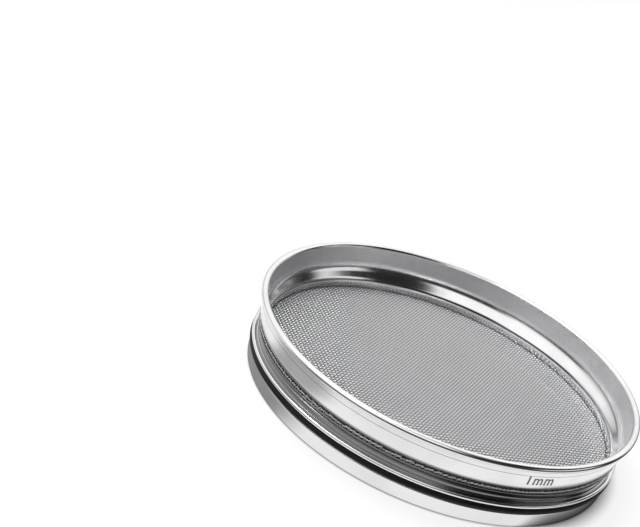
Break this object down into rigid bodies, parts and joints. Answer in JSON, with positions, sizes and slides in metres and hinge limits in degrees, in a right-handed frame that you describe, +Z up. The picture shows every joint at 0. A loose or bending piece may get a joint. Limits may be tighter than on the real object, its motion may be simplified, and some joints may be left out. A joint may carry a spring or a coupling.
{
  "type": "test sieve",
  "caption": "Shallow round test sieve: pressed steel frames with a rolled rim clamp fine woven wire cloth, and a rubber seal ring sits above a skirt that nests in the sieve below.",
  "frame": {"origin": "centre of the foot's plane, where the sieve stands", "axes": "+Z up along the sieve's axis, +X along the upper set of wires of the cloth, +Y along the lower set"},
  "size_m": [0.2078, 0.2078, 0.038],
  "materials": {
    "frame_steel": "polished stainless sheet, mirror-like with fine turning lines",
    "cloth_wire": "drawn stainless wire, satin",
    "seal_rubber": "smooth black rubber, slight sheen"
  },
  "bodies": {
    "root": {"upper_frame": "frame_steel", "wire_cloth": "cloth_wire", "lower_frame": "frame_steel", "seal_ring": "seal_rubber"}
  },
  "joints": []
}
